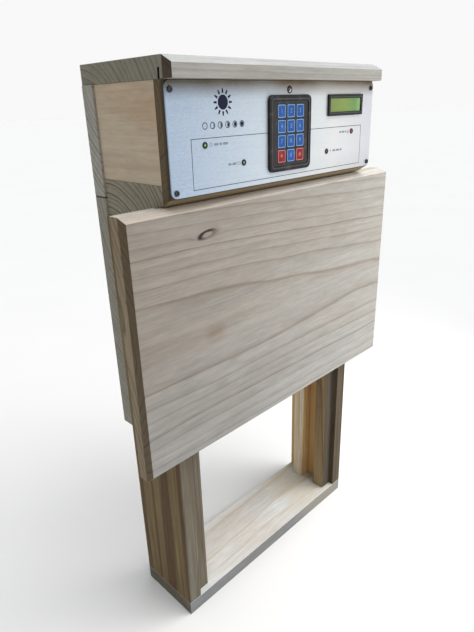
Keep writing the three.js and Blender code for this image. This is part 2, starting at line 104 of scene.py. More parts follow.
class Material(Tree):
    """A material under construction, with short calls for the nodes that it is made of."""

    def __init__(self, name):
        self.made = bpy.data.materials.new(name)
        self.made.use_nodes = True
        super().__init__(self.made.node_tree)
        coordinates = self.node("ShaderNodeTexCoord")
        self.place = coordinates.outputs["Object"]
        self.normal = coordinates.outputs["Normal"]

    def math(self, operation, *values):
        return self.node("ShaderNodeMath", values, operation=operation).outputs[0]

    def times(self, a, b):
        return self.math("MULTIPLY", a, b)

    def plus(self, a, b):
        return self.math("ADD", a, b)

    def minus(self, a, b):
        return self.math("SUBTRACT", a, b)

    def vector(self, operation, *values):
        node = self.node("ShaderNodeVectorMath", values, operation=operation)
        return node.outputs["Value" if operation == "LENGTH" else "Vector"]

    def parts(self, vector):
        return self.node("ShaderNodeSeparateXYZ", [vector]).outputs

    def combine(self, x, y, z):
        return self.node("ShaderNodeCombineXYZ", [x, y, z]).outputs[0]

    def noise(self, vector, scale=1.0, detail=2.0, roughness=0.5):
        values = {"Vector": vector, "Scale": scale, "Detail": detail, "Roughness": roughness}
        return self.node("ShaderNodeTexNoise", values).outputs["Fac"]

    def ramp(self, factor, stops):
        node = self.node("ShaderNodeValToRGB", {"Fac": factor})
        elements = node.color_ramp.elements
        while len(elements) < len(stops):
            elements.new(1.0)
        for element, (position, value) in zip(elements, stops):
            element.position = position
            element.color = value if isinstance(value, tuple) else (value, value, value, 1.0)
        return node.outputs["Color"]

    def spread(self, value, low, high, new_low=0.0, new_high=1.0):
        """The value taken from one range to another, and held within it."""
        return self.node("ShaderNodeMapRange", [value, low, high, new_low, new_high]).outputs["Result"]

    def mix(self, factor, a, b, blend="MIX"):
        values = {"Factor": factor, 6: a, 7: b}
        return self.node("ShaderNodeMix", values, data_type="RGBA", blend_type=blend).outputs[2]

    def tint(self, base, tone):
        return self.mix(1.0, base, tone, "MULTIPLY")

    def shade(self, base, factor):
        return self.tint(base, self.combine(factor, factor, factor))

    def speckle(self, scale, detail=3.0, roughness=0.5):
        """Noise fixed to the frame, of one scale or of a scale for each axis."""
        scales = scale if isinstance(scale, tuple) else (scale,) * 3
        return self.noise(self.vector("MULTIPLY", self.place, scales), 1.0, detail, roughness)

    def share(self, noise, low=0.0, high=1.0):
        """The middle of a noise, where nearly all of it lies, taken to a new range."""
        return self.spread(noise, 0.3, 0.7, low, high)

    def bump(self, height, strength, depth):
        values = {"Height": height, "Strength": strength, "Distance": depth}
        return self.node("ShaderNodeBump", values).outputs["Normal"]

    def finish(self, base, roughness, bump=None, **settings):
        """Ends the tree in one Principled shader. Settings are its sockets, with _ for a space."""
        values = {"Base Color": base, "Roughness": roughness}
        if bump is not None:
            values["Normal"] = bump
        values |= {name.replace("_", " "): value for name, value in settings.items()}
        shader = self.node("ShaderNodeBsdfPrincipled", values)
        self.node("ShaderNodeOutputMaterial", {"Surface": shader.outputs["BSDF"]})
        return self.made


def grained(m, local, grain, along, across, detail=2.0, roughness=0.5):
    """Noise of one scale along the grain and another across it."""
    scale = [across] * 3
    scale[grain] = along
    return m.noise(m.vector("MULTIPLY", local, scale), 1.0, detail, roughness)


# ---- Timber ----
WARM_PATCH = colour(232, 205, 178)
COOL_PATCH = colour(222, 225, 224)
BLOTCH = (0.62, 0.6, 0.58, 1.0)
KNOT_RIM = colour(44, 32, 26)
KNOT_STAIN = colour(112, 92, 74)
RING = [(0.0, 0.1), (0.06, 0.0), (0.5, 0.06), (0.80, 0.32), (0.93, 1.0), (1.0, 0.1)]  # late wood in a year
STREAKS = [(0.33, colour(176, 152, 132)), (0.44, colour(232, 226, 216)), (0.52, colour(206, 190, 170)),
           (0.60, colour(255, 250, 240)), (0.70, colour(196, 192, 188))]
TIMBER = {
    "grain": 0,  # the axis that it runs along
    "pale": (150, 144, 136),  # early wood on the faces
    "late": (112, 100, 88),
    "end": (133, 128, 111),  # the same on the sawn ends
    "end_late": (64, 56, 43),
    "spacing": 0.0062,  # between growth rings
    "lean": (0.0, 0.0),  # how the heart of the log drifts across the board, per metre of length
    "wander": 0.007,  # how far the rings stray from true circles
    "contrast": 0.75,  # of the rings on a face along the grain
    "end_contrast": 0.7,  # of the rings on the sawn ends
    "warm": 0.35,  # share of warm patches
    "fibre": 0.14,  # how dark the fibres are
    "bands": 0.25,  # of broad brown and grey streaks along the grain
    "top": None,  # pale and late colour of the faces that look up, bleached by sun and rain, and painted lighter for the light from above
    "front": None,  # painted light and shade: the same for the faces towards the yard
    "marks": (),  # boxes of another colour: low corner, high corner, softness, share, colour
    "light_tints": None,  # painted light and shade: tints of the left end, the upper left corner and the foot of a board along X
    "roughness": 0.68,
    "knot": None,
    "seed": 0.0,
}


def knot_masks(m, parts, grain, knot):
    """Pull on the rings, dark rim and inner stain of one knot, an ellipse about its place in the board."""
    across = 2 if grain == 0 else 0
    du = m.math("DIVIDE", m.minus(parts[grain], knot["along"]), knot["long"])
    dv = m.math("DIVIDE", m.minus(parts[across], knot["across"]), knot["short"])
    slanted = m.minus(dv, m.times(du, knot["slant"]))
    place = m.combine(du, slanted, 0.0)
    wobble = m.times(m.minus(m.noise(place, 1.6, 3.0), 0.5), 0.5)
    reach = m.plus(m.vector("LENGTH", place), wobble)
    pull = m.spread(reach, 0.0, 3.5, 1.0, 0.0)
    pull = m.times(m.times(pull, pull), knot["pull"])
    rim = m.spread(m.math("ABSOLUTE", m.minus(reach, 1.0)), 0.16, 0.52, 1.0, 0.0)
    upper = m.spread(m.minus(slanted, m.times(du, 0.9)), -0.9, 0.5, 0.42, 1.0)
    tail = m.spread(m.math("ABSOLUTE", m.minus(reach, 1.3)), 0.0, 0.9, 0.5, 0.0)
    right = m.spread(du, 0.2, 1.4)
    return pull, m.times(rim, upper), m.times(tail, right)


def ring_pattern(m, parts, seeded, look, pull):
    """The share of late wood: rings about the heart of the log, uneven in width and in strength."""
    grain = look["grain"]
    across = [parts[i] for i in range(3) if i != grain]
    offsets = []
    for value, heart, lean in zip(across, look["pith"], look["lean"]):
        drift = m.times(parts[grain], lean)
        offsets.append(m.minus(m.minus(value, heart), drift))
    radius = m.vector("LENGTH", m.combine(offsets[0], offsets[1], 0.0))
    stray = grained(m, seeded, grain, 3.2, 13.0, 2.0, 0.45)
    radius = m.plus(radius, m.times(m.minus(stray, 0.5), look["wander"] * 2))
    if pull is not None:
        radius = m.plus(radius, pull)
    years = m.math("DIVIDE", radius, look["spacing"])
    uneven = m.noise(m.combine(m.times(years, 0.31), look["seed"], 0.5), 1.0, 1.0)
    years = m.plus(years, m.times(uneven, 2.4))
    strength = m.noise(m.combine(m.times(years, 0.83), look["seed"] + 4.0, 0.0), 1.0, 0.0)
    return m.times(m.ramp(m.math("FRACT", years), RING), m.share(strength, 0.25, 1.0))


def tones(m, look):
    """The board's four tones, with lit and shaded copies on the faces that look up or towards the yard:
    painted light and shade, and bleaching on top.
    """
    pale, late, end, end_late = (colour(*look[key]) for key in ("pale", "late", "end", "end_late"))
    _, normal_y, normal_z = m.parts(m.normal)
    looks_up = m.spread(normal_z, 0.25, 0.45)
    looks_out = m.spread(normal_y, -0.6, -0.8)
    for pair, share in ((look["top"], looks_up), (look["front"], looks_out)):
        if pair:
            early, dark = colour(*pair[0]), colour(*pair[1])
            pale, late = m.mix(share, pale, early), m.mix(share, late, dark)
            end, end_late = m.mix(share, end, early), m.mix(share, end_late, dark)
    return pale, late, end, end_late


def face_colour(m, seeded, grain, ring, pale, late, look):
    """A face along the grain: rings, broad streaks, and warm and cool patches."""
    face = m.mix(ring, pale, late)
    broad = grained(m, seeded, grain, 1.6, 62.0, 2.0, 0.55)
    face = m.mix(look["bands"], face, m.tint(face, m.ramp(broad, STREAKS)))
    warm = grained(m, seeded, grain, 5.0, 16.0, 3.0)
    face = m.mix(m.spread(warm, 0.45, 0.7, 0.0, look["warm"]), face, m.tint(face, WARM_PATCH))
    cool = grained(m, seeded, grain, 5.2, 14.3)
    return m.mix(m.spread(cool, 0.5, 0.75, 0.0, 0.5), face, m.tint(face, COOL_PATCH))


def end_colour(m, seeded, ring, end, end_late):
    """A sawn end: rings under dark blotches."""
    sawn = m.mix(ring, end, end_late)
    blotch = grained(m, seeded, 0, 60.0, 60.0, 3.0, 0.6)
    return m.mix(m.spread(blotch, 0.35, 0.75, 0.0, 0.35), sawn, m.tint(sawn, BLOTCH))


def weathered(m, base, parts, half, tints):
    """Painted light and shade: tints a board along X at its left end, its upper left corner and its foot.
    half is half its length.
    """
    left_end, corner, foot = tints
    high = m.spread(parts[2], -0.10, 0.02)
    left = m.spread(parts[0], -half, half * 0.6, 1.0, 0.0)
    base = m.mix(left, base, m.tint(base, left_end))
    base = m.mix(m.times(left, high), base, m.tint(base, corner))
    return m.mix(high, m.tint(base, foot), base)


def marked(m, base, marks):
    """Lays the marks over the colour, each a box in the frame with soft edges."""
    for low, high, softness, share, tone in marks:
        inside = share
        for value, start, stop in zip(m.parts(m.place), low, high):
            past = m.math("ABSOLUTE", m.minus(value, (start + stop) / 2))
            reach = (stop - start) / 2
            inside = m.times(m.spread(past, reach, reach + softness, 1.0, 0.0), inside)
        base = m.mix(inside, base, colour(*tone))
    return base


def timber(name, low, high, **extras):
    """Sawn softwood. The rings are cylinders about the heart of the log, so faces and ends agree.
    pith is the heart's place from the middle of the board, in the two axes across the grain."""
    look = {**TIMBER, **extras}
    grain = look["grain"]
    m = Material(name)
    local = m.vector("SUBTRACT", m.place, (low + high) / 2)
    seeded = m.vector("ADD", local, (look["seed"] * 1.7, look["seed"] * 3.1, look["seed"] * 5.3))
    parts = m.parts(local)
    pull = rim = stain = None
    if look["knot"]:
        pull, rim, stain = knot_masks(m, parts, grain, look["knot"])

    on_end = m.spread(m.math("ABSOLUTE", m.parts(m.normal)[grain]), 0.6, 0.8)
    contrast = m.spread(on_end, 0.0, 1.0, look["contrast"], look["end_contrast"])
    ring = m.times(ring_pattern(m, parts, seeded, look, pull), contrast)
    pale, late, end, end_late = tones(m, look)
    face = face_colour(m, seeded, grain, ring, pale, late, look)
    base = m.mix(on_end, face, end_colour(m, seeded, ring, end, end_late))

    streaks = grained(m, seeded, grain, 22.0, 620.0, 3.0, 0.6)
    fine = grained(m, seeded, grain, 70.0, 2300.0, 2.0, 0.6)
    fibre = m.plus(m.times(streaks, 0.62), m.times(fine, 0.38))
    mottle = grained(m, seeded, grain, 42.0, 230.0, 4.0, 0.7)
    pores = m.share(fibre, 1.0 - look["fibre"], 1.0 + look["fibre"] * 0.6)
    base = m.shade(base, m.times(pores, m.share(mottle, 0.9, 1.08)))
    if rim is not None:
        on_face = m.minus(1.0, on_end)
        base = m.mix(m.times(stain, on_face), base, KNOT_STAIN)
        base = m.mix(m.times(rim, on_face), base, KNOT_RIM)
    # painted light and shade along the board
    if look["light_tints"]:
        base = weathered(m, base, parts, (high - low)[grain] / 2, look["light_tints"])
    base = marked(m, base, look["marks"])

    height = m.minus(m.times(fibre, 0.8), m.times(ring, 0.35))
    rough = m.share(fibre, look["roughness"] + 0.1, look["roughness"] - 0.06)
    return m.finish(base, rough, m.bump(height, 0.35, 0.25 * MM), Specular_IOR_Level=0.3)


# ---- Metals, plastics and glass ----
PLATE_LIGHT_TONES = [(0.0, colour(146, 161, 179)), (0.4, colour(170, 179, 187)), (0.75, colour(185, 187, 187)),
               (1.0, colour(167, 169, 175))]  # painted light: from its cooler left end to its right
# painted shadow under the trim
TRIM_SHADOW_TINT = colour(128, 98, 42)
PLASTIC_DUST = colour(180, 176, 168)
DISPLAY_LIGHT = [(0.0, colour(89, 104, 40)), (0.45, colour(98, 115, 46)), (0.8, colour(73, 110, 52)),
                 (0.93, colour(108, 135, 83)), (1.0, colour(117, 137, 96))]
DISPLAY_CELLS = (18.0, 3.0)  # across and up
CIRCUIT_THICK = 1.6 * MM  # the circuit board's front is level with the front of the stiles
TRACKS_X, TRACKS_Z, TRACK_SHARE = 180.0, 240.0, 0.22  # tracks to a metre, and how much of the pitch they fill
TRIM_SHADOW_START, TRIM_SHADOW_END = 2 * MM, 17 * MM  # painted shadow of the trim, below the top of the plate
DARKER_CORNER_HEIGHT = 25 * MM  # height of the darker lower right corner of the plate


def plate_aluminium():
    """Brushed aluminium sheet, cooler at its left end as painted light, with a painted shadow close under the
    trim, and darker towards its lower right corner.
    """
    m = Material("plate_aluminium")
    lines = m.speckle((9.0, 2600.0, 2600.0), 4.0, 0.7)
    specks = m.speckle((420.0, 900.0, 900.0), 3.0, 0.6)
    smears = m.speckle((14.0, 20.0, 20.0), 3.0, 0.55)
    brush = m.plus(m.times(lines, 0.55), m.times(specks, 0.45))
    x, _, z = m.parts(m.place)
    along = m.spread(x, PLATE_LOW.x, PLATE_HIGH.x)
    depth = m.spread(along, 0.0, 0.6, 0.95, 0.3)
    shade = m.plus(1.0, m.times(m.minus(brush, 0.5), depth))
    # darker towards the lower right corner
    low = m.spread(z, PLATE_LOW.z, PLATE_LOW.z + DARKER_CORNER_HEIGHT, 1.0, 0.0)
    corner = m.times(m.spread(along, 0.4, 0.8), low)
    shade = m.minus(shade, m.times(corner, 0.13))
    # painted light: the tone runs from cool at the left end to neutral at the right
    base = m.shade(m.ramp(along, PLATE_LIGHT_TONES), shade)
    below = m.minus(PLATE_HIGH.z, z)
    # painted shadow: darker and browner close under the trim
    dust_and_shade = m.times(m.spread(below, TRIM_SHADOW_START, TRIM_SHADOW_END, 1.0, 0.0), m.share(smears, 0.75, 1.0))
    base = m.mix(m.math("POWER", dust_and_shade, 1.3), base, m.tint(base, TRIM_SHADOW_TINT))
    rough = m.plus(m.share(brush, 0.56, 0.44), m.share(smears, -0.04, 0.06))
    return m.finish(base, rough, m.bump(brush, 0.10, 0.05 * MM), Metallic=0.3)


def metal(name, tone, dark, roughness, scale=300.0, metallic=1.0):
    """Plain worked metal: small scratches, stains and an uneven polish."""
    m = Material(name)
    worked = m.speckle(scale, 4.0, 0.65)
    stains = m.speckle(70.0, 3.0, 0.6)
    base = m.mix(m.spread(stains, 0.4, 0.75, 0.0, 0.6), tone, dark)
    base = m.shade(base, m.share(worked, 0.92, 1.06))
    rough = m.plus(m.share(worked, roughness + 0.08, roughness - 0.05),
                   m.spread(stains, 0.4, 0.8, 0.0, 0.12))
    return m.finish(base, rough, m.bump(worked, 0.15, 0.04 * MM), Metallic=metallic)


def plastic(name, tone, roughness, variation=0.07):
    """Moulded plastic: a fine pebbled skin with faint dusting and rubbing."""
    m = Material(name)
    skin = m.speckle(1500.0, 2.0)
    dust_and_shade = m.speckle(120.0, 4.0, 0.6)
    base = m.shade(tone, m.spread(dust_and_shade, 0.3, 0.75, 1.0 - variation, 1.0 + variation))
    base = m.mix(m.spread(dust_and_shade, 0.55, 0.85, 0.0, 0.12), base, PLASTIC_DUST)
    rough = m.plus(m.share(skin, roughness - 0.04, roughness + 0.06),
                   m.spread(dust_and_shade, 0.4, 0.8, -0.03, 0.08))
    return m.finish(base, rough, m.bump(skin, 0.2, 0.03 * MM), Specular_IOR_Level=0.25)


def display_glass():
    """A lit character display: two rows of faint cells, brighter towards the lamp at its right end."""
    m = Material("lcd_green")
    low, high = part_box("lcd_bezel")
    x, _, z = m.parts(m.place)
    across = m.spread(x, low.x, high.x)
    cell_x = m.math("FRACT", m.times(across, DISPLAY_CELLS[0]))
    cell_z = m.math("FRACT", m.times(m.spread(z, low.z, high.z), DISPLAY_CELLS[1]))
    in_x = m.times(m.spread(cell_x, 0.1, 0.16), m.spread(cell_x, 0.84, 0.9, 1.0, 0.0))
    in_z = m.times(m.spread(cell_z, 0.14, 0.2), m.spread(cell_z, 0.8, 0.86, 1.0, 0.0))
    cells = m.times(in_x, in_z)
    cloud = m.speckle((60.0, 60.0, 160.0), 3.0, 0.6)
    lit = m.shade(m.ramp(across, DISPLAY_LIGHT), m.share(cloud, 0.9, 1.08))
    lit = m.mix(m.times(cells, 0.16), lit, colour(78, 108, 44))
    rough = m.share(cloud, 0.38, 0.5)
    return m.finish(lit, rough, m.bump(cells, 0.05, 0.02 * MM), Emission_Color=lit, Emission_Strength=0.1)


def lens(name, tone, glow):
    """A small moulded lamp lens, a little cloudy and lit from inside."""
    m = Material(name)
    cloud = m.speckle(900.0, 3.0, 0.6)
    base = m.shade(tone, m.share(cloud, 0.8, 1.1))
    return m.finish(base, m.share(cloud, 0.12, 0.22), m.bump(cloud, 0.05, 0.02 * MM),
                    Emission_Color=base, Emission_Strength=glow, Coat_Weight=0.6)


def circuit_green():
    """A green board with lighter tracks, and black parts standing off it."""
    m = Material("circuit_green")
    board_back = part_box("left_stile")[0].y + CIRCUIT_THICK
    x, y, z = m.parts(m.place)
    across = m.math("LESS_THAN", m.math("FRACT", m.times(x, TRACKS_X)), TRACK_SHARE)
    upward = m.math("LESS_THAN", m.math("FRACT", m.times(z, TRACKS_Z)), TRACK_SHARE)
    pick = m.math("GREATER_THAN", m.speckle((90.0, 1.0, 90.0), 0.0), 0.5)
    lines = m.plus(m.times(pick, across), m.times(m.minus(1.0, pick), upward))
    base = m.mix(lines, colour(18, 84, 46), colour(64, 134, 74))
    standing = m.math("GREATER_THAN", y, board_back + 0.1 * MM)
    parts = m.speckle(700.0, 2.0)
    base = m.mix(standing, base, m.ramp(parts, [(0.3, colour(22, 22, 24)), (0.7, colour(40, 40, 42))]))
    rough = m.spread(standing, 0.0, 1.0, 0.3, 0.55)
    return m.finish(base, rough, m.bump(lines, 0.1, 0.03 * MM))


def printing_ink(name, tone):
    """Screen-printed ink, with small breaks and a dull surface."""
    m = Material(name)
    breaks = m.speckle(800.0, 3.0, 0.6)
    base = m.shade(tone, m.share(breaks, 0.85, 1.15))
    rough = m.share(breaks, 0.5, 0.65)
    return m.finish(base, rough, m.bump(breaks, 0.1, 0.02 * MM), Specular_IOR_Level=0.15)


def sensor_glass(x, z, reach):
    """Dark glass with a painted highlight over its lower right half."""
    m = Material("sensor_glass")
    cloud = m.speckle(500.0, 3.0)
    dark = m.ramp(cloud, [(0.35, colour(20, 20, 22)), (0.7, colour(50, 50, 52))])
    place_x, _, place_z = m.parts(m.place)
    slant = m.plus(m.minus(place_x, x), m.minus(z, place_z))
    # painted highlight over the lower right half of the window
    tone = m.mix(m.spread(slant, 0.0, reach), dark, colour(196, 190, 170))
    return m.finish(tone, m.share(cloud, 0.06, 0.14), m.bump(cloud, 0.04, 0.02 * MM), Coat_Weight=0.8)


# ---- What each board looks like, its tones in sRGB from 0 to 255 ----
# near black, for real seams and for painted shade in the saw cut, on the stiles' inner faces and beside the
# plate
GRIME_AND_SHADE = (20, 16, 12)
# painted sunlight, in the groove between the guides
GROOVE_SUNLIGHT = (211, 172, 115)
# tops: bleached, and painted lighter for the light from above
BLEACHED_AND_LIT = ((186, 182, 174), (158, 142, 122))
END_BROWN = (100, 86, 66)
END_BROWN_LATE = (44, 36, 25)
TAN_PALE = (182, 168, 148)
TAN_LATE = (160, 142, 116)
FAR = 1.0  # past the object on every side, for a mark that isn't bounded there

LID_LOW, LID_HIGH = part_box("lid_board")
FRONT_LOW, FRONT_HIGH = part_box("box_front_board")
BACK_LOW, BACK_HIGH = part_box("back_board_upper")
GUIDE_LOW, GUIDE_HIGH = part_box("right_front_guide")
STILE_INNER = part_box("right_stile")[0].x
INNER = STILE_INNER + 1 * MM  # just past the inner faces of the stiles
KERF_START, KERF_STOP, KERF_DEEP = 4.0 * MM, 6.6 * MM, 9.2 * MM  # from the lid's lower front edge

KERF = ((-FAR, LID_LOW.y + KERF_START, -FAR), (FAR, LID_LOW.y + KERF_STOP, LID_LOW.z + KERF_DEEP),
        0.3 * MM, 1.0, GRIME_AND_SHADE)  # the saw cut under the lid, painted black for the shade inside it
BACK_SEAM = ((-FAR, -FAR, BACK_LOW.z - 0.5 * MM), (FAR, FAR, BACK_LOW.z + 0.5 * MM), 0.6 * MM, 0.85, GRIME_AND_SHADE)
# painted shade on the front board's end, along its front edge beside the plate
PLATE_EDGE_SHADE = ((-FAR, -FAR, FRONT_LOW.z + 6 * MM), (FAR, FRONT_LOW.y + 1 * MM, FRONT_HIGH.z),
              5 * MM, 0.75, GRIME_AND_SHADE)
SUNLIT_GROOVE = ((-INNER, GUIDE_HIGH.y, -FAR), (INNER, FAR, FAR), 0.5 * MM, 0.85, GROOVE_SUNLIGHT)  # painted sunlight from behind, in the groove between the guides
# painted shade on the stiles' inner faces in front of the front guides
INNER_FACE_SHADE = ((-STILE_INNER - 0.5 * MM, -FAR, -FAR), (STILE_INNER + 0.5 * MM, GUIDE_LOW.y, FAR),
           0.5 * MM, 0.35, GRIME_AND_SHADE)
SILL_END = ((0.09, -0.02, 0.01), (0.15, 0.05, 0.05), 45 * MM, 0.35, (174, 156, 118))  # browner wood
STAINS = (
    ((-0.124, -FAR, 0.3975), (-0.112, FAR, 0.3995), 12 * MM, 0.42, (104, 82, 60)),
    ((-0.096, -FAR, 0.3555), (-0.087, FAR, 0.3565), 8 * MM, 0.26, (96, 88, 82)),
    ((-0.117, -FAR, 0.3315), (-0.110, FAR, 0.3325), 9 * MM, 0.20, (96, 92, 92)),
)  # old ones on the cover board
# painted light across the cover: a darker left end and upper left corner, and a lighter, bluer foot
COVER_LIGHT_TINTS = ((0.87, 0.855, 0.855, 1.0), (0.93, 0.89, 0.85, 1.0), (1.02, 1.05, 1.10, 1.0))
COVER_KNOT = dict(along=-0.1235, across=0.1130, long=0.0098, short=0.0034, slant=0.35, pull=0.008)

CLEAT = dict(
    grain=2, pale=(137, 123, 101), late=(56, 44, 30), end=END_BROWN, end_late=END_BROWN_LATE,
    spacing=0.0042, wander=0.013, contrast=1.0, top=BLEACHED_AND_LIT)
STILE = dict(grain=2, late=(70, 56, 40), bands=1.0, marks=(SUNLIT_GROOVE, INNER_FACE_SHADE))
BACK_BOARD = dict(spacing=0.0058, end_contrast=1.0, marks=(BACK_SEAM,))
BOX_SIDE = dict(
    grain=1, pale=TAN_PALE, late=TAN_LATE, end=TAN_PALE, end_late=TAN_LATE, spacing=0.016, wander=0.012,
    contrast=0.42)
GUIDE = dict(grain=2, spacing=0.0055, lean=(0.01, 0.02), wander=0.004, bands=0.7)
BOARDS = {
    "sill": dict(
        pale=(116, 120, 124), late=(96, 92, 88), end=(101, 96, 82), end_late=(46, 38, 28),
        pith=(0.012, -0.05), spacing=0.011, lean=(0.03, 0.01), wander=0.012, contrast=0.5,
        top=((195, 198, 199), (160, 145, 121)), marks=(SILL_END,), seed=1.0),
    "cover_board": dict(
        pale=(146, 144, 139), late=(102, 87, 70), end=(99, 84, 58), end_late=(38, 30, 18),
        pith=(0.105, 0.004), spacing=0.0078, lean=(0.02, -0.04), contrast=0.72, end_contrast=1.0,
        warm=0.14, bands=0.2, fibre=0.18, top=((196, 193, 187), (168, 158, 145)), light_tints=COVER_LIGHT_TINTS,
        marks=STAINS, knot=COVER_KNOT, seed=2.0),
    "cover_facing": dict(
        pale=TAN_PALE, late=TAN_LATE, end=END_BROWN, end_late=END_BROWN_LATE, pith=(0.02, 0.3),
        spacing=0.009, contrast=0.4, seed=3.0),
    "left_cleat": dict(CLEAT, pith=(0.010, -0.012), lean=(0.05, 0.30), seed=4.0),
    "right_cleat": dict(CLEAT, pith=(-0.010, -0.012), lean=(0.02, -0.07), seed=5.0),
    # the stiles' faces towards the yard are painted darker: painted shade under the cover board
    "left_stile": dict(
        STILE, pale=(128, 114, 79), front=((110, 109, 101), (69, 62, 51)), pith=(0.035, 0.02),
        spacing=0.0085, lean=(0.0, 0.05), wander=0.010, contrast=0.7, seed=6.0),
    "right_stile": dict(
        STILE, pale=(112, 102, 86), front=((89, 82, 68), (57, 46, 32)), pith=(0.04, -0.02),
        spacing=0.008, lean=(0.0, -0.04), wander=0.009, seed=7.0),
    "back_board_lower": dict(BACK_BOARD, end=(140, 137, 125), pith=(-0.16, 0.16), wander=0.006, seed=8.0),
    "back_board_upper": dict(BACK_BOARD, end=(155, 153, 144), pith=(-0.16, 0.14), wander=0.005, seed=9.0),
    "box_floor": dict(
        end=(137, 131, 112), pith=(0.045, -0.05), spacing=0.0052, end_contrast=1.6, seed=10.0),
    "box_side_left": dict(BOX_SIDE, pith=(0.09, 0.02), warm=0.45, fibre=0.08, seed=11.0),
    "box_side_right": dict(BOX_SIDE, pith=(-0.09, 0.02), warm=0.6, fibre=0.07, seed=12.0),
    "box_front_board": dict(
        pale=(126, 112, 88), late=(78, 60, 40), end=(92, 77, 53), end_late=(50, 38, 26),
        pith=(0.03, 0.03), spacing=0.006, marks=(PLATE_EDGE_SHADE,), seed=13.0),
    "lid_board": dict(
        end=(126, 124, 109), end_late=(58, 52, 42), pith=(0.07, -0.06), wander=0.005, end_contrast=0.9,
        top=BLEACHED_AND_LIT, marks=(KERF,), seed=14.0),
    "lid_trim": dict(
        pale=(142, 143, 140), late=(118, 108, 98), end=(68, 56, 44), end_late=(30, 24, 18),
        pith=(0.03, -0.04), spacing=0.006, contrast=0.5, warm=0.1,
        top=((172, 175, 177), (156, 150, 142)), bands=0.35, seed=15.0),
    "door_panel": dict(
        pale=TAN_PALE, late=TAN_LATE, pith=(0.05, -0.03), spacing=0.010, lean=(0.02, 0.03), contrast=0.7,
        seed=16.0),
}
# painted sunlight from behind, on the rear guides' faces towards the yard
SUNLIT_REAR_GUIDE_FRONT = ((222, 188, 136), (182, 144, 94))
# faces towards the yard: painted shade under the cover board on the front guides, painted sunlight from
# behind on the rear guides
GUIDE_FRONTS = {
    "left_front_guide": ((100, 95, 84), (54, 44, 34)),
    "left_rear_guide": SUNLIT_REAR_GUIDE_FRONT,
    "right_front_guide": ((77, 72, 62), (54, 44, 34)),
    "right_rear_guide": SUNLIT_REAR_GUIDE_FRONT,
}


def paint(node, material):
    """Gives every face of a CAD node the finish."""
    mesh = NODES[node].data
    mesh.materials.clear()
    mesh.materials.append(material)


def paint_boards():
    """Finishes every board. The rear guides are paler: painted sunlight, falling on them from behind."""
    for index, (node, front) in enumerate(GUIDE_FRONTS.items()):
        pale, late = (155, 136, 102), (90, 67, 41)
        # painted sunlight from behind makes the rear guides paler
        if "rear" in node:
            pale, late = (226, 217, 194), (196, 174, 138)
        pith = (0.02 + 0.004 * index, -0.015 + 0.01 * index)
        BOARDS[node] = dict(GUIDE, pale=pale, late=late, front=front, pith=pith, seed=20.0 + index)
    for node, look in BOARDS.items():
        paint(node, timber(f"timber_{node}", *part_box(node), **look))


def paint_the_rest():
    """Finishes every CAD piece that isn't timber."""
    bright = metal("bright_steel", colour(176, 178, 180), colour(120, 118, 114), 0.32)
    dark = metal("dark_steel", colour(76, 78, 82), colour(30, 30, 34), 0.3)
    brass = metal("nut_brass", colour(196, 158, 84), colour(120, 92, 48), 0.3)
    coupler = metal("coupler_aluminium", colour(196, 200, 204), colour(150, 152, 154), 0.34,
                    (80.0, 80.0, 1600.0))
    can = metal("motor_can", colour(110, 112, 116), colour(66, 66, 68), 0.4, (60.0, 60.0, 900.0), 0.9)
    black = plastic("black_plastic", colour(22, 21, 23), 0.5)
    case = plastic("case_plastic", colour(70, 73, 78), 0.55)
    blue = plastic("key_blue", colour(14, 62, 124), 0.45, variation=0.1)
    red = plastic("key_red", colour(104, 14, 24), 0.45, variation=0.1)
    groups = [
        (bright, ["lead_screw", "motor_shaft", "gearbox", "door_bracket", "motor_bracket", "battery_strap"]),
        (dark, [f"plate_screw_{number}" for number in range(1, 5)]),
        (brass, ["drive_nut"]),
        (coupler, ["shaft_coupler"]),
        (can, ["drive_motor"]),
        (black, ["keypad_bezel", "lcd_bezel", "upper_limit_switch", "lower_limit_switch", "power_inlet"]),
        (case, ["battery", "foot_bearing"]),
        (blue, [f"key_{digit}" for digit in range(10)]),
        (red, ["key_star", "key_hash"]),
        (plate_aluminium(), ["face_plate"]),
        (display_glass(), ["lcd_window"]),
        (circuit_green(), ["circuit_board"]),
    ]
    for material, nodes in groups:
        for node in nodes:
            paint(node, material)


# ---- Edges of the CAD pieces ----
def shading_group(angle):
    """Geometry nodes that smooth every edge flatter than the angle and keep the others sharp."""
    group = bpy.data.node_groups.new("smooth_shallow_edges", "GeometryNodeTree")
    group.interface.new_socket("Geometry", in_out="INPUT", socket_type="NodeSocketGeometry")
    group.interface.new_socket("Geometry", in_out="OUTPUT", socket_type="NodeSocketGeometry")
    tree = Tree(group)
    entry = tree.node("NodeGroupInput")
    forget = tree.node("GeometryNodeRemoveAttribute", {"Geometry": entry.outputs[0], "Name": "custom_normal"})
    faces = tree.node("GeometryNodeSetShadeSmooth", {"Geometry": forget.outputs["Geometry"]})
    bend = tree.node("GeometryNodeInputMeshEdgeAngle").outputs["Unsigned Angle"]
    steep = tree.node("FunctionNodeCompare", [bend, angle], operation="GREATER_THAN").outputs[0]
    values = {"Geometry": faces.outputs["Geometry"], "Selection": steep, "Shade Smooth": False}
    edges = tree.node("GeometryNodeSetShadeSmooth", values, domain="EDGE")
    tree.node("NodeGroupOutput", [edges.outputs["Geometry"]])
    return group


EASE_TIMBER = 0.7 * MM
EASE_OTHERS = 0.2 * MM
WELD = 0.002 * MM  # corners nearer than this are one
FLAT = math.radians(0.5)  # faces nearer to level than this are one
SHARP = math.radians(32)
ROUND_EDGE = math.radians(50)  # for turned shapes


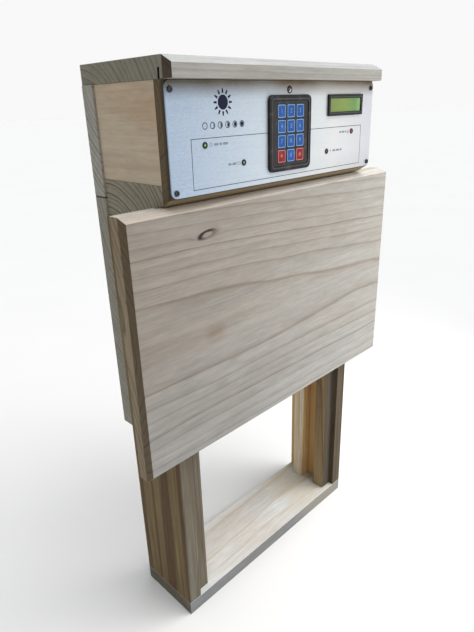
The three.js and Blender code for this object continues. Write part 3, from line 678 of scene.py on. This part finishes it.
def ease_edges():
    """Rounds the edges of the CAD pieces a little, as sanding and moulding do."""
    shading = shading_group(SHARP)
    for name, node in NODES.items():
        add = node.modifiers.new
        width = EASE_TIMBER if name in BOARDS else EASE_OTHERS
        configured(add("weld", "WELD"), merge_threshold=WELD)
        configured(add("flat", "DECIMATE"), decimate_type="DISSOLVE", angle_limit=FLAT)
        configured(add("ease", "BEVEL"), width=width, segments=2, limit_method="ANGLE", angle_limit=SHARP,
                   use_clamp_overlap=True)
        configured(add("shade", "NODES"), node_group=shading)
        configured(add("even", "WEIGHTED_NORMAL"), keep_sharp=True)


# ---- Mesh helpers ----
def new_object(name, data):
    """A new object in the scene."""
    made = bpy.data.objects.new(name, data)
    bpy.context.scene.collection.objects.link(made)
    return made


def new_mesh(name, bm):
    """The shape that was built, as a mesh."""
    mesh = bpy.data.meshes.new(name)
    bm.to_mesh(mesh)
    bm.free()
    return mesh


def settle(name, mesh, material, body):
    """A finished mesh as a piece that rides on a CAD body."""
    mesh.materials.append(material)
    made = new_object(name, mesh)
    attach(made, body)
    return made


def piece(name, bm, material, body):
    """The shape that was built, as a piece that rides on a CAD body."""
    bmesh.ops.recalc_face_normals(bm, faces=bm.faces)
    return settle(name, new_mesh(name, bm), material, body)


def seen_from_front(node):
    """The middle X and Z, the width and the height of a CAD piece."""
    low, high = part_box(node)
    return (low.x + high.x) / 2, (low.z + high.z) / 2, high.x - low.x, high.z - low.z


def shade_round(made):
    """Smooths a turned piece, all but its real corners."""
    for polygon in made.data.polygons:
        polygon.use_smooth = True
    made.data.set_sharp_from_angle(angle=ROUND_EDGE)


def add_prism(bm, outline, front, depth):
    """A thin slab whose front face has the given X and Z corners, in order round it."""
    near = [bm.verts.new((x, front, z)) for x, z in outline]
    far = [bm.verts.new((x, front + depth, z)) for x, z in outline]
    bm.faces.new(near)
    bm.faces.new(far[::-1])
    for i in range(len(near)):
        j = (i + 1) % len(near)
        bm.faces.new((near[j], near[i], far[i], far[j]))


def bridge(bm, loops):
    """Faces from each loop of corners to the next. A loop may also be a single corner."""
    count = max(len(loop) for loop in loops)
    for a, b in zip(loops, loops[1:]):
        for i in range(count):
            j = (i + 1) % count
            corners = [a[i % len(a)], a[j % len(a)], b[j % len(b)], b[i % len(b)]]
            bm.faces.new(list(dict.fromkeys(corners)))


def add_ring(bm, outer, inner, front, depth):
    """A thin flat ring between two outlines with the same number of corners."""
    loops = [[bm.verts.new((x, y, z)) for x, z in outline] for outline, y in
             ((outer, front), (inner, front), (inner, front + depth), (outer, front + depth))]
    bridge(bm, loops + loops[:1])


def add_print(bm, low, high):
    """A printed rectangle between two corners."""
    (x0, z0), (x1, z1) = low, high
    add_prism(bm, [(x0, z0), (x1, z0), (x1, z1), (x0, z1)], PRINT_FRONT, INK)


def arc(x, z, r, start=0.0, turn=2 * math.pi, steps=32):
    """Corners along an arc in the plane of the panel. A full turn leaves its last corner out."""
    last = steps if turn >= 2 * math.pi else steps + 1
    return [(x + r * math.cos(start + turn * i / steps), z + r * math.sin(start + turn * i / steps))
            for i in range(last)]


def rounded(x, z, width, height, corner, steps=5):
    """The outline of a rectangle with rounded corners."""
    outline = []
    for quarter, (sx, sz) in enumerate(((1, 1), (-1, 1), (-1, -1), (1, -1))):
        middle_x = x + sx * (width / 2 - corner)
        middle_z = z + sz * (height / 2 - corner)
        outline += arc(middle_x, middle_z, corner, quarter * math.pi / 2, math.pi / 2, steps)
    return outline


def lathe(profile, x, z, front, segments=40):
    """A turned shape about a front-to-back line. The profile is [radius, how far it stands out]."""
    bm = bmesh.new()
    rings = []
    for r, proud in profile:
        if r == 0:
            rings.append([bm.verts.new((x, front - proud, z))])
        else:
            rings.append([bm.verts.new((px, front - proud, pz)) for px, pz in arc(x, z, r, steps=segments)])
    bridge(bm, rings)
    return bm


# ---- Printing on the plate ----
def printed_outline(ink):
    """The thin frame round the lamps. Its top line stops at the keypad on both sides."""
    bm = bmesh.new()
    left, right, low, high, line = (OUTLINE[key] for key in ("left", "right", "low", "high", "line"))
    strips = [
        ((left, low), (right, low + line)),
        ((left, low + line), (left + line, high)),
        ((right - line, low + line), (right, high)),
        ((left + line, high - line), (BEZEL_LOW.x, high)),
        ((BEZEL_HIGH.x, high - line), (right - line, high)),
    ]
    for low_corner, high_corner in strips:
        add_print(bm, low_corner, high_corner)
    return piece("printed_outline", bm, ink, "frame")


def sun_emblem(ink):
    """A plain rayed sun, which stands for day and night opening."""
    bm = bmesh.new()
    x, z = EMBLEM["x"], EMBLEM["z"]
    add_prism(bm, arc(x, z, EMBLEM["disc"], steps=40), PRINT_FRONT, INK)
    for i in range(EMBLEM["rays"]):
        angle = 2 * math.pi * i / EMBLEM["rays"]
        out = Vector((math.cos(angle), math.sin(angle)))
        side = Vector((-out.y, out.x)) * EMBLEM["half"]
        near, far = out * EMBLEM["ring"], out * EMBLEM["ray"]
        corners = [near - side, far - side * 0.55, far + side * 0.55, near + side]
        add_prism(bm, [(x + c.x, z + c.y) for c in corners], PRINT_FRONT, INK)
    return piece("sun_emblem", bm, ink, "frame")


def moon_phases(ink):
    """A row of small moons under the sun, from new to full."""
    bm = bmesh.new()
    r, line, z, last = PHASES["r"], PHASES["line"], PHASES["z"], PHASES["count"] - 1
    steps = 24
    for i in range(PHASES["count"]):
        x = PHASES["x"] + (i - last / 2) * PHASES["pitch"]
        add_ring(bm, arc(x, z, r, steps=steps), arc(x, z, r - line, steps=steps), PRINT_FRONT, INK)
        if i == 0:
            continue  # the new moon is only a ring
        bulge = 1.0 - 2.0 * i / last
        lit = arc(x, z, r - 1.5 * line, -math.pi / 2, math.pi, steps // 2)
        edge = [(x + (px - x) * bulge, pz) for px, pz in lit[1:-1]]
        add_prism(bm, lit + edge[::-1], PRINT_FRONT, INK)
    return piece("moon_phases", bm, ink, "frame")


def clock(bm, x, z):
    """A ring with two hands."""
    add_ring(bm, arc(x, z, 2.1 * MM), arc(x, z, 1.6 * MM), PRINT_FRONT, INK)
    add_print(bm, (x - 0.2 * MM, z), (x + 0.2 * MM, z + 1.3 * MM))
    add_print(bm, (x + 0.2 * MM, z - 0.2 * MM), (x + 1.1 * MM, z + 0.2 * MM))


def cell(bm, x, z):
    """A battery lying on its side."""
    outer = rounded(x, z, 5.2 * MM, 2.8 * MM, 0.4 * MM)
    add_ring(bm, outer, rounded(x, z, 4.3 * MM, 1.9 * MM, 0.2 * MM), PRINT_FRONT, INK)
    add_print(bm, (x + 2.6 * MM, z - 0.6 * MM), (x + 3.1 * MM, z + 0.6 * MM))


def doorway(bm, x, z):
    """A frame with a door half open in it."""
    outer = rounded(x, z, 3.6 * MM, 4.2 * MM, 0.3 * MM)
    add_ring(bm, outer, rounded(x, z, 2.8 * MM, 3.4 * MM, 0.2 * MM), PRINT_FRONT, INK)
    add_print(bm, (x - 1.0 * MM, z - 1.3 * MM), (x + 1.0 * MM, z + 0.1 * MM))


def bolt(bm, x, z):
    """A zigzag flash."""
    zigzag = [(0.4, 2.4), (-1.2, -0.3), (-0.1, -0.3), (-0.4, -2.4), (1.2, 0.5), (0.1, 0.5)]
    add_prism(bm, [(x + dx * MM, z + dz * MM) for dx, dz in zigzag], PRINT_FRONT, INK)


ROW_HIGH, ROW_LOW = 0.5906, 0.5705  # Z of the two rows of marks
BAR_HEIGHT = 2.3 * MM
BAR_GAP = 1.0 * MM
LAMP_MARKS = {
    "timer_mark": (clock, -0.1145, ROW_HIGH, -0.1105, (6.0, 3.5, 7.0)),
    "battery_mark": (cell, -0.0785, ROW_LOW, -0.0925, (4.5, 5.5)),
    "door_mark": (doorway, 0.1135, ROW_HIGH, 0.0955, (3.5, 6.2, 3.0)),
    "power_mark": (bolt, 0.0785, ROW_LOW, 0.0825, (5.8, 7.2, 4.5)),
}  # the picture with its X and Z, then where the bars start and their lengths in millimetres


def lamp_marks(ink):
    """A small picture and a few bars beside each lamp, in place of words."""
    for name, (picture, x, z, start, lengths) in LAMP_MARKS.items():
        bm = bmesh.new()
        picture(bm, x, z)
        for length in lengths:
            width = length * MM
            bar = rounded(start + width / 2, z, width, BAR_HEIGHT, BAR_HEIGHT * 0.45, 3)
            add_prism(bm, bar, PRINT_FRONT, INK)
            start += width + BAR_GAP
        piece(name, bm, ink, "frame")


# ---- Lamps and sensor ----
LAMP_RING = 3.1 * MM
LAMP_LENS = 1.5 * MM
LAMPS = {
    "led_timer": ("lamp_green", colour(98, 146, 52), 0.2),
    "led_ready": ("lamp_clear", colour(104, 120, 96), 0.02),
    "led_safety": ("lamp_red", colour(176, 30, 62), 0.25),
    "led_power": ("lamp_clear", colour(62, 74, 72), 0.02),
}


def fitting(node):
    """The middle of a round fitting in the plate, how far it stands out and how deep it goes in."""
    low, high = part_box(node)
    return (low.x + high.x) / 2, (low.z + high.z) / 2, PLATE_FRONT - low.y, high.y - PLATE_FRONT


def turned(name, profile, x, z, material):
    """A turned piece in the plate."""
    made = piece(name, lathe(profile, x, z, PLATE_FRONT), material, "frame")
    shade_round(made)
    return made


def dome(radius, body, height, steps=7):
    """The profile of a lens: a rod in the plate with a domed front."""
    bends = [math.pi / 2 * i / steps for i in range(1, steps)]
    front = [(radius * math.cos(bend), height * math.sin(bend)) for bend in bends]
    return [(0.0, -body * 0.9), (radius, -body * 0.9), (radius, 0.0)] + front + [(0.0, height)]


def lamp(node, slot, tone, glow, holder):
    """One indicator: a black clip ring with a dished lip, and a domed lens down in it."""
    x, z, proud, body = fitting(node)
    outer, inner = LAMP_RING, LAMP_LENS
    ring = [(inner, -body * 0.5), (outer * 0.75, -body * 0.5), (outer * 0.75, 0.0), (outer, 0.0),
            (outer, proud * 0.45), (outer * 0.92, proud * 0.85), (outer * 0.8, proud),
            (inner * 1.12, proud * 0.9), (inner, proud * 0.5), (inner, -body * 0.5)]
    turned(f"{node}_clip", ring, x, z, holder)
    glass = lens(f"{node}_{slot}", tone, glow)
    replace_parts(turned(f"{node}_lens", dome(inner * 0.98, body, proud * 0.8), x, z, glass), node)


def light_sensor(holder):
    """The daylight sensor: a turned rim and a dark domed window with a painted highlight on it."""
    x, z, proud, body = fitting("light_sensor")
    outer = seen_from_front("light_sensor")[2] / 2
    inner = outer * 0.72
    rim = [(inner, -body * 0.5), (outer * 0.8, -body * 0.5), (outer * 0.8, 0.0), (outer, 0.0),
           (outer, proud * 0.6), (outer * 0.9, proud), (inner * 1.08, proud), (inner, proud * 0.6),
           (inner, -body * 0.5)]
    turned("sensor_rim", rim, x, z, holder)
    glass = sensor_glass(x, z, outer * 0.5)
    window = turned("sensor_window", dome(inner * 0.98, body, proud * 0.9), x, z, glass)
    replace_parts(window, "light_sensor")


# ---- Keypad ----
KEYS = {**{f"key_{digit}": str(digit) for digit in range(10)}, "key_star": "*", "key_hash": "#"}
KEY_INSET = 0.25 * MM  # of the border from the key's edge
KEY_BORDER = 0.75 * MM
KEY_CORNER = 1.0 * MM
KEY_PRINT = 0.05 * MM
GLYPH_SIZE = 6.4 * MM
STAR_SIZE = 1.5 * GLYPH_SIZE  # the font's star is small and sits high
STAR_DROP = 1.4 * MM
RIM = 5.5 * MM  # width of the keypad's rim
POCKET = 0.8 * MM  # depth of its front pocket
FILM = 0.12 * MM
FILM_GAP = 0.35 * MM  # of the film from the rim and from the keys
# a paler band on the flats of the black frames
PALE_RIMS = {
    "keypad_rim": ("keypad_bezel", (6.6, 6.6), 1.4, (3.8, 3.2), 8),
    "lcd_rim": ("lcd_bezel", (4.4, 4.8), 1.0, (0.6, 0.4), 5),
}  # how much narrower and lower than the frame, line width, outer and inner corner, steps to a corner


def glyph_mesh(text, size):
    """A character from Blender's own font as a thin mesh facing the yard, centred on the origin."""
    curve = configured(bpy.data.curves.new(f"glyph_{ord(text)}", "FONT"), body=text, size=size,
                       align_x="CENTER", align_y="CENTER", extrude=KEY_PRINT / 2)
    holder = new_object(curve.name, curve)
    bpy.context.view_layer.update()
    mesh = bpy.data.meshes.new_from_object(holder.evaluated_get(bpy.context.evaluated_depsgraph_get()))
    bpy.data.objects.remove(holder)
    mesh.transform(Matrix.Rotation(math.pi / 2, 4, "X"))
    return mesh


def key_faces():
    """The printed border and character on each key, which travel with it."""
    inks = {
        "key_blue": (printing_ink("key_border_blue", colour(104, 138, 168)),
                     printing_ink("key_glyph_blue", colour(92, 132, 178))),
        "key_red": (printing_ink("key_border_red", colour(170, 106, 108)),
                    printing_ink("key_glyph_red", colour(196, 116, 84))),
    }
    for node, character in KEYS.items():
        x, z, width, height = seen_from_front(node)
        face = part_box(node)[0].y
        body = node.replace("key_", "button_")
        slot = "key_red" if character in "*#" else "key_blue"
        border_ink, glyph_ink = inks[slot]
        bm = bmesh.new()
        inset = KEY_INSET + KEY_BORDER
        outer = rounded(x, z, width - 2 * KEY_INSET, height - 2 * KEY_INSET, KEY_CORNER)
        inner = rounded(x, z, width - 2 * inset, height - 2 * inset, KEY_CORNER / 2)
        add_ring(bm, outer, inner, face - KEY_PRINT, KEY_PRINT)
        piece(f"{node}_border", bm, border_ink, body)
        is_star = character == "*"
        glyph = glyph_mesh(character, STAR_SIZE if is_star else GLYPH_SIZE)
        place = (x, face - KEY_PRINT / 2, z - STAR_DROP if is_star else z)
        glyph.transform(Matrix.Translation(place))
        settle(f"{node}_character", glyph, glyph_ink, body)


def keypad_overlay():
    """The dark printed film round the keys, with a window for each of them."""
    boxes = [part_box(node) for node in KEYS]
    columns = sorted({round(low.x, 5) for low, _ in boxes})
    rows = sorted({round(low.z, 5) for low, _ in boxes})
    width = boxes[0][1].x - boxes[0][0].x
    height = boxes[0][1].z - boxes[0][0].z
    edge = RIM + FILM_GAP
    xs = [BEZEL_LOW.x + edge, BEZEL_HIGH.x - edge]
    zs = [BEZEL_LOW.z + edge, BEZEL_HIGH.z - edge]
    xs[1:1] = [side for x in columns for side in (x - FILM_GAP, x + width + FILM_GAP)]
    zs[1:1] = [side for z in rows for side in (z - FILM_GAP, z + height + FILM_GAP)]
    bm = bmesh.new()
    front = BEZEL_LOW.y + POCKET - FILM
    grid = [[bm.verts.new((x, front, z)) for z in zs] for x in xs]
    for i in range(len(xs) - 1):
        for j in range(len(zs) - 1):
            if i % 2 == 1 and j % 2 == 1:
                continue  # a key's window
            bm.faces.new((grid[i][j], grid[i + 1][j], grid[i + 1][j + 1], grid[i][j + 1]))
    made = bmesh.ops.extrude_face_region(bm, geom=bm.faces[:])
    moved = [v for v in made["geom"] if isinstance(v, bmesh.types.BMVert)]
    bmesh.ops.translate(bm, vec=(0.0, FILM, 0.0), verts=moved)
    skin = plastic("keypad_film", colour(39, 36, 35), 0.5, variation=0.12)
    piece("keypad_overlay", bm, skin, "frame")


def rubbed_rims(skin):
    """A paler band on the flats of both black frames."""
    for name, (node, (narrower, lower), line, (outside, inside), steps) in PALE_RIMS.items():
        x, z, width, height = seen_from_front(node)
        width, height = width - narrower * MM, height - lower * MM
        bm = bmesh.new()
        outer = rounded(x, z, width, height, outside * MM, steps)
        inner = rounded(x, z, width - 2 * line * MM, height - 2 * line * MM, inside * MM, steps)
        add_ring(bm, outer, inner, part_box(node)[0].y - INK, INK)
        piece(name, bm, skin, "frame")


# ---- Drive screw ----
THREAD_DEPTH = 0.9 * MM
THREAD_LEAD = 8 * MM
THREAD_STARTS = 4
THREAD_STEP = 0.5 * MM  # between the rows of corners
THREAD_SEGMENTS = 24


def thread_height(z, angle):
    """How much of the thread stands at a place: 1 on its flat crest, 0 at its root."""
    pitch = THREAD_LEAD / THREAD_STARTS
    phase = (z / pitch - THREAD_STARTS * angle / (2 * math.pi)) % 1.0
    return min(1.0, max(0.0, 1.6 - 4.2 * abs(phase - 0.5)))


def threaded_screw(steel):
    """The lead screw with its four-start thread, inside the plain rod that stands for it."""
    low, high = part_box("lead_screw")
    x, y = (low.x + high.x) / 2, (low.y + high.y) / 2
    root = (high.x - low.x) / 2 - THREAD_DEPTH
    length = high.z - low.z
    rows = int(length / THREAD_STEP)
    bm = bmesh.new()
    rings = []
    for row in range(rows + 1):
        z = length * row / rows
        ring = []
        for i in range(THREAD_SEGMENTS):
            angle = 2 * math.pi * i / THREAD_SEGMENTS
            r = root
            if 0 < row < rows:
                r += THREAD_DEPTH * thread_height(z, angle)
            ring.append(bm.verts.new((x + r * math.cos(angle), y + r * math.sin(angle), low.z + z)))
        rings.append(ring)
    bridge(bm, rings)
    bm.faces.new(rings[0][::-1])
    bm.faces.new(rings[-1])
    made = piece("threaded_screw", bm, steel, "drive")
    shade_round(made)
    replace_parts(made, "lead_screw")


# ---- Studio ----
BACKDROP = (0.945, 0.945, 0.945, 1.0)  # what the camera sees past the floor
FLOOR_TONE = 0.60
FLOOR_RADIUS = 40.0
LIGHT_SIDE = (0.30, -0.38, 0.875)  # the bright side of the room
ROOM_TINT = (0.97, 0.985, 1.0, 1.0)
ROOM_DIM, ROOM_BRIGHT = 0.25, 1.60


def pale_floor():
    """A plain floor, with just enough unevenness not to be one flat value."""
    bm = bmesh.new()
    bmesh.ops.create_circle(bm, cap_ends=True, radius=FLOOR_RADIUS, segments=96)
    mesh = new_mesh("studio_floor", bm)
    m = Material("studio_floor")
    tone = m.noise(m.place, 3.0, 2.0)
    low = (FLOOR_TONE - 0.005,) * 3 + (1.0,)
    high = (FLOOR_TONE + 0.005,) * 3 + (1.0,)
    mesh.materials.append(m.finish(m.ramp(tone, [(0.3, low), (0.7, high)]), 0.95, Specular_IOR_Level=0.0))
    new_object("studio_floor", mesh)


def soft_room():
    """Light from all round, brightest from the upper right in front, before a plain pale backdrop."""
    world = bpy.data.worlds.new("studio")
    world.use_nodes = True
    tree = Tree(world.node_tree)
    place = tree.node("ShaderNodeTexCoord").outputs["Generated"]
    lean = tree.node("ShaderNodeVectorMath", [place, LIGHT_SIDE], operation="DOT_PRODUCT").outputs["Value"]
    strength = tree.node("ShaderNodeMapRange", [lean, 0.0, 1.0, ROOM_DIM, ROOM_BRIGHT]).outputs["Result"]
    room = tree.node("ShaderNodeBackground", {"Color": ROOM_TINT, "Strength": strength}).outputs[0]
    backdrop = tree.node("ShaderNodeBackground", {"Color": BACKDROP}).outputs[0]
    seen = tree.node("ShaderNodeLightPath").outputs["Is Camera Ray"]
    either = tree.node("ShaderNodeMixShader", [seen, room, backdrop])
    tree.node("ShaderNodeOutputWorld", {"Surface": either.outputs[0]})
    bpy.context.scene.world = world


def add_light(name, kind, place, aim, **settings):
    """A light pointed at its aim, and itself unseen."""
    made = new_object(name, configured(bpy.data.lights.new(name, kind), **settings))
    turn = (Vector(aim) - Vector(place)).to_track_quat("-Z", "Y").to_euler()
    configured(made, location=place, rotation_euler=turn, visible_camera=False, visible_glossy=False)


def lights():
    """A wide soft sun from the bright side, and a soft lamp close by on the right."""
    add_light("soft_sun", "SUN", LIGHT_SIDE, (0.0, 0.0, 0.0),
              energy=2.0, angle=math.radians(55), color=(1.0, 0.985, 0.96))
    add_light("side_lamp", "AREA", (0.60, -0.44, 0.44), (0.05, 0.0, 0.38),
              shape="DISK", size=0.7, energy=5.5, color=(1.0, 0.98, 0.95))


def studio():
    """The floor, the room and the lights."""
    pale_floor()
    soft_room()
    lights()
    bpy.context.scene.view_settings.view_transform = "Standard"


def photo_camera():
    """The camera of the main view, fitted to the object's corners."""
    data = configured(bpy.data.cameras.new("camera"), lens=CAMERA_LENS, sensor_width=SENSOR,
                      clip_start=0.01, clip_end=100.0)
    camera = new_object("camera", data)
    turn = (Matrix.Rotation(-CAMERA_HEADING, 4, "Z") @ Matrix.Rotation(math.pi / 2 - CAMERA_DIP, 4, "X")
            @ Matrix.Rotation(CAMERA_ROLL, 4, "Z"))
    camera.matrix_world = Matrix.Translation(CAMERA_PLACE) @ turn
    bpy.context.scene.camera = camera


photo_camera()
studio()
paint_boards()
paint_the_rest()
ease_edges()
dark_ink = printing_ink("print_dark", colour(48, 52, 62))
navy_ink = printing_ink("print_navy", colour(20, 23, 44))
grey_ink = printing_ink("print_grey", colour(112, 118, 128))
printed_outline(dark_ink)
sun_emblem(navy_ink)
moon_phases(navy_ink)
lamp_marks(grey_ink)
clip = plastic("lamp_clip", colour(22, 24, 24), 0.35)
for lamp_node, (lamp_slot, lamp_tone, lamp_glow) in LAMPS.items():
    lamp(lamp_node, lamp_slot, lamp_tone, lamp_glow, clip)
light_sensor(clip)
key_faces()
keypad_overlay()
rubbed_rims(plastic("pale_rim_black", colour(54, 55, 58), 0.5, variation=0.12))
threaded_screw(metal("screw_steel", colour(180, 182, 184), colour(118, 116, 112), 0.3))
